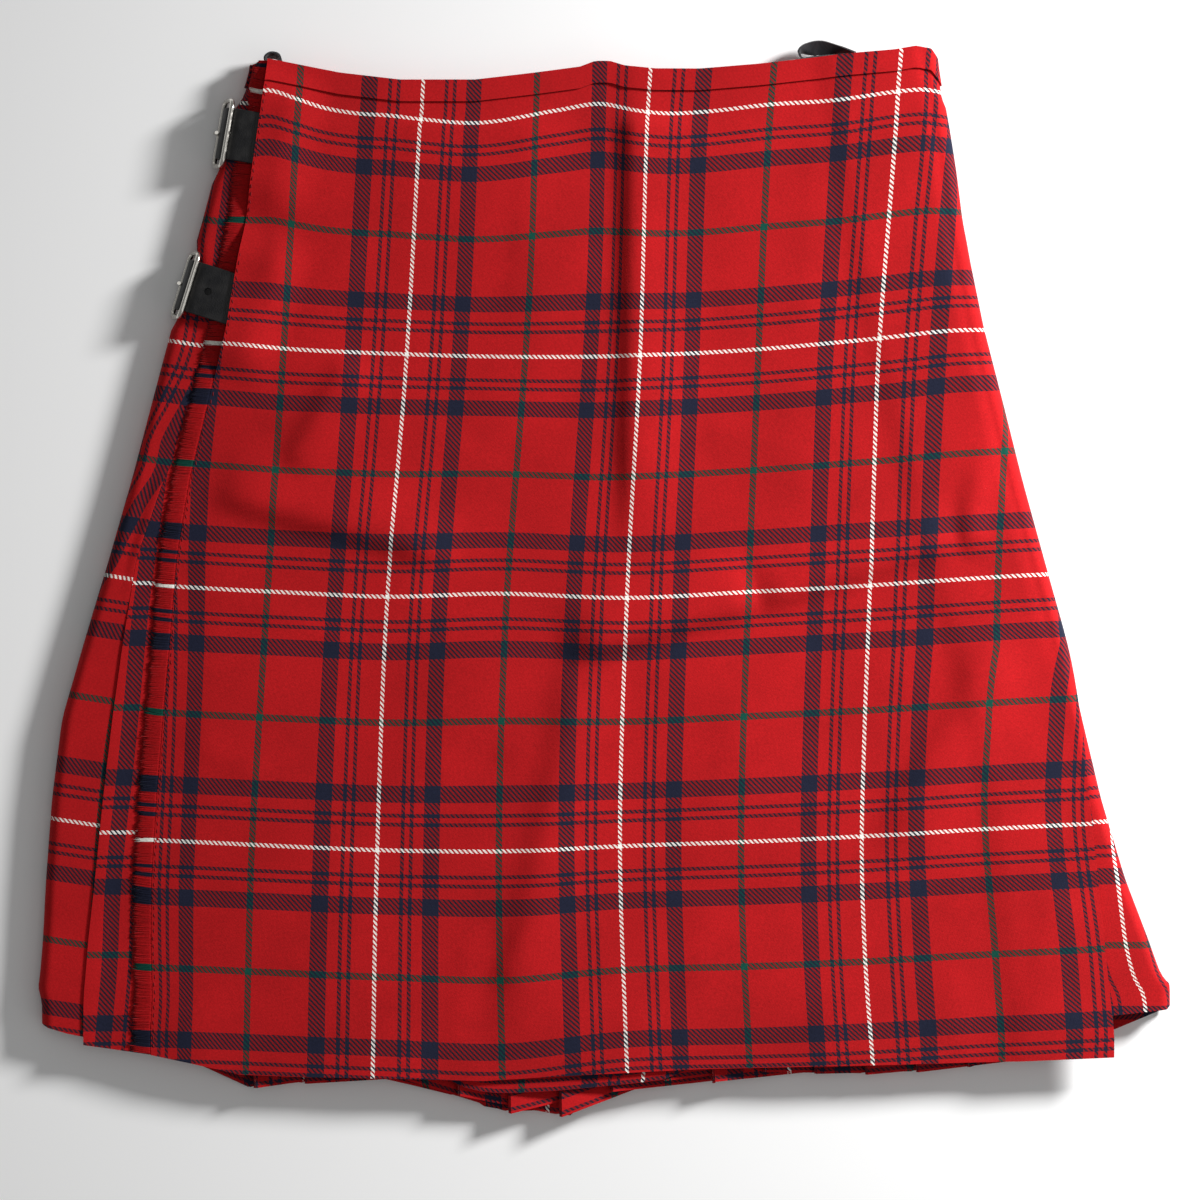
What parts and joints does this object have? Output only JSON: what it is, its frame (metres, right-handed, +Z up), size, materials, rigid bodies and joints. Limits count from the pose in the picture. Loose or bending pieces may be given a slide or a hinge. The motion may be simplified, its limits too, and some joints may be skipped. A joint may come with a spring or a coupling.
{
  "type": "kilt",
  "caption": "Tartan kilt laid flat on its knife-pleated back, over apron upwards, with a fringed apron edge, leather side straps with buckles and ribbon hanger loops.",
  "frame": {"origin": "on the floor under the middle of the part's box", "axes": "+X to the right of the over apron as seen from above, +Y towards the waist, +Z up from the surface it lies on"},
  "size_m": [0.6816, 0.6477, 0.0219],
  "materials": {
    "tartan_red": "twill wool, matt",
    "tartan_navy": "twill wool, matt",
    "black_leather": "smooth, semi-gloss",
    "black_ribbon": "woven tape, slight sheen",
    "plated_steel": "bright nickel plate"
  },
  "bodies": {
    "root": {"left_side_pleat": "tartan_red", "right_side_pleat": "tartan_red", "over_apron": "tartan_red", "waistband_front": "tartan_red", "waistband_back": "tartan_red", "apron_fringe": "tartan_red", "pleated_back": "tartan_navy", "under_apron": "tartan_navy", "strap_upper": "black_leather", "strap_lower": "black_leather", "chape_upper": "black_leather", "chape_lower": "black_leather", "hanger_loop_right": "black_ribbon", "hanger_loop_left": "black_ribbon", "buckle_upper_frame": "plated_steel", "buckle_upper_bar": "plated_steel", "buckle_upper_prong": "plated_steel", "buckle_lower_frame": "plated_steel", "buckle_lower_bar": "plated_steel", "buckle_lower_prong": "plated_steel"}
  },
  "joints": []
}
